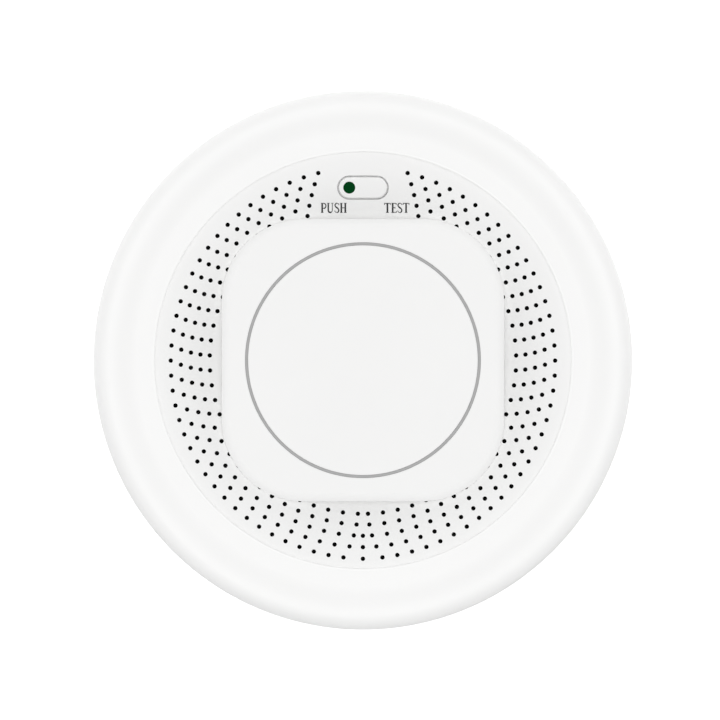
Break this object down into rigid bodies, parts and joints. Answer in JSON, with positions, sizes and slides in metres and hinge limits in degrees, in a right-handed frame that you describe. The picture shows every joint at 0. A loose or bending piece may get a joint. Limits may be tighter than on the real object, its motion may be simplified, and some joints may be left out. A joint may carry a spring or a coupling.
{
  "type": "smoke detector",
  "caption": "Round ceiling smoke alarm with a perforated dish, rounded-square centre cap, push-to-test button with status light, twist-off bracket and rear battery door.",
  "frame": {"origin": "centre of the ceiling face of the bracket, z = 0", "axes": "+Z points out of the perforated face into the room, +Y points from the centre towards the test button, +X to the right when looking at the face"},
  "size_m": [0.12, 0.12, 0.0415],
  "materials": {
    "shell_plastic": "fine satin moulding texture, warm white",
    "bracket_plastic": "plain moulded, white",
    "grille_plastic": "fine satin moulding texture, white",
    "black_mesh": "fine woven mesh",
    "grey_inlay": "satin mid grey",
    "circuit_board": "solder mask over laminate",
    "black_plastic": "light-absorbing matt black",
    "stainless_mesh": "pierced foil",
    "plated_steel": "bright nickel plating",
    "clear_blue_resin": "clear tinted epoxy",
    "dark_resin": "moulded epoxy",
    "green_resin": "diffused epoxy",
    "green_lens": "polished dark green, unlit",
    "brass_disc": "rolled sheet with a pale ceramic face",
    "ferrite": "sintered",
    "capacitor_can": "drawn can",
    "cell_wrap": "plain shrink sleeve"
  },
  "bodies": {
    "bracket": {"mounting_bracket": "bracket_plastic"},
    "head": {"rear_housing": "shell_plastic", "front_cover": "shell_plastic", "smoke_grille": "grille_plastic", "dust_screen": "black_mesh", "center_cap": "shell_plastic", "accent_ring": "grey_inlay", "main_board": "circuit_board", "chamber_base": "black_plastic", "chamber_cover": "black_plastic", "insect_screen": "stainless_mesh", "infrared_emitter": "clear_blue_resin", "photodiode": "dark_resin", "sounder_case": "black_plastic", "piezo_disc": "brass_disc", "sounder_lid": "black_plastic", "switch_base": "black_plastic", "switch_frame": "plated_steel", "status_led": "green_resin", "microcontroller": "dark_resin", "boost_inductor": "ferrite", "smoothing_capacitor": "capacitor_can", "chip_resistors": "dark_resin", "battery_cell_a": "cell_wrap", "battery_cell_b": "cell_wrap", "spring_contacts": "plated_steel", "plate_contacts": "plated_steel", "housing_screws": "plated_steel", "grille_screws": "plated_steel", "board_screws": "plated_steel"},
    "button": {"test_button": "shell_plastic", "light_pipe": "green_lens"},
    "plunger": {"switch_plunger": "black_plastic"},
    "door": {"battery_door": "shell_plastic"}
  },
  "joints": [
    {"name": "twist_lock", "type": "hinge", "parent": "bracket", "child": "head", "pos_m": [0, 0, 0], "axis": [0, 0, 1], "range_deg": [0, 24]},
    {"name": "test_press", "type": "slide", "parent": "head", "child": "button", "axis": [0, 0, -1], "range_m": [0, 0.0005], "stiffness_N_per_m": 15, "springref_m": -0.001},
    {"name": "switch_travel", "type": "slide", "parent": "head", "child": "plunger", "axis": [0, 0, -1], "range_m": [0, 0.0005]},
    {"name": "door_hinge", "type": "hinge", "parent": "head", "child": "door", "pos_m": [0, -0.015, 0.0044], "axis": [-1, 0, 0], "range_deg": [0, 90]}
  ],
  "couplings": [
    {"joint": "switch_travel", "follows": "test_press", "ratio": 1}
  ]
}
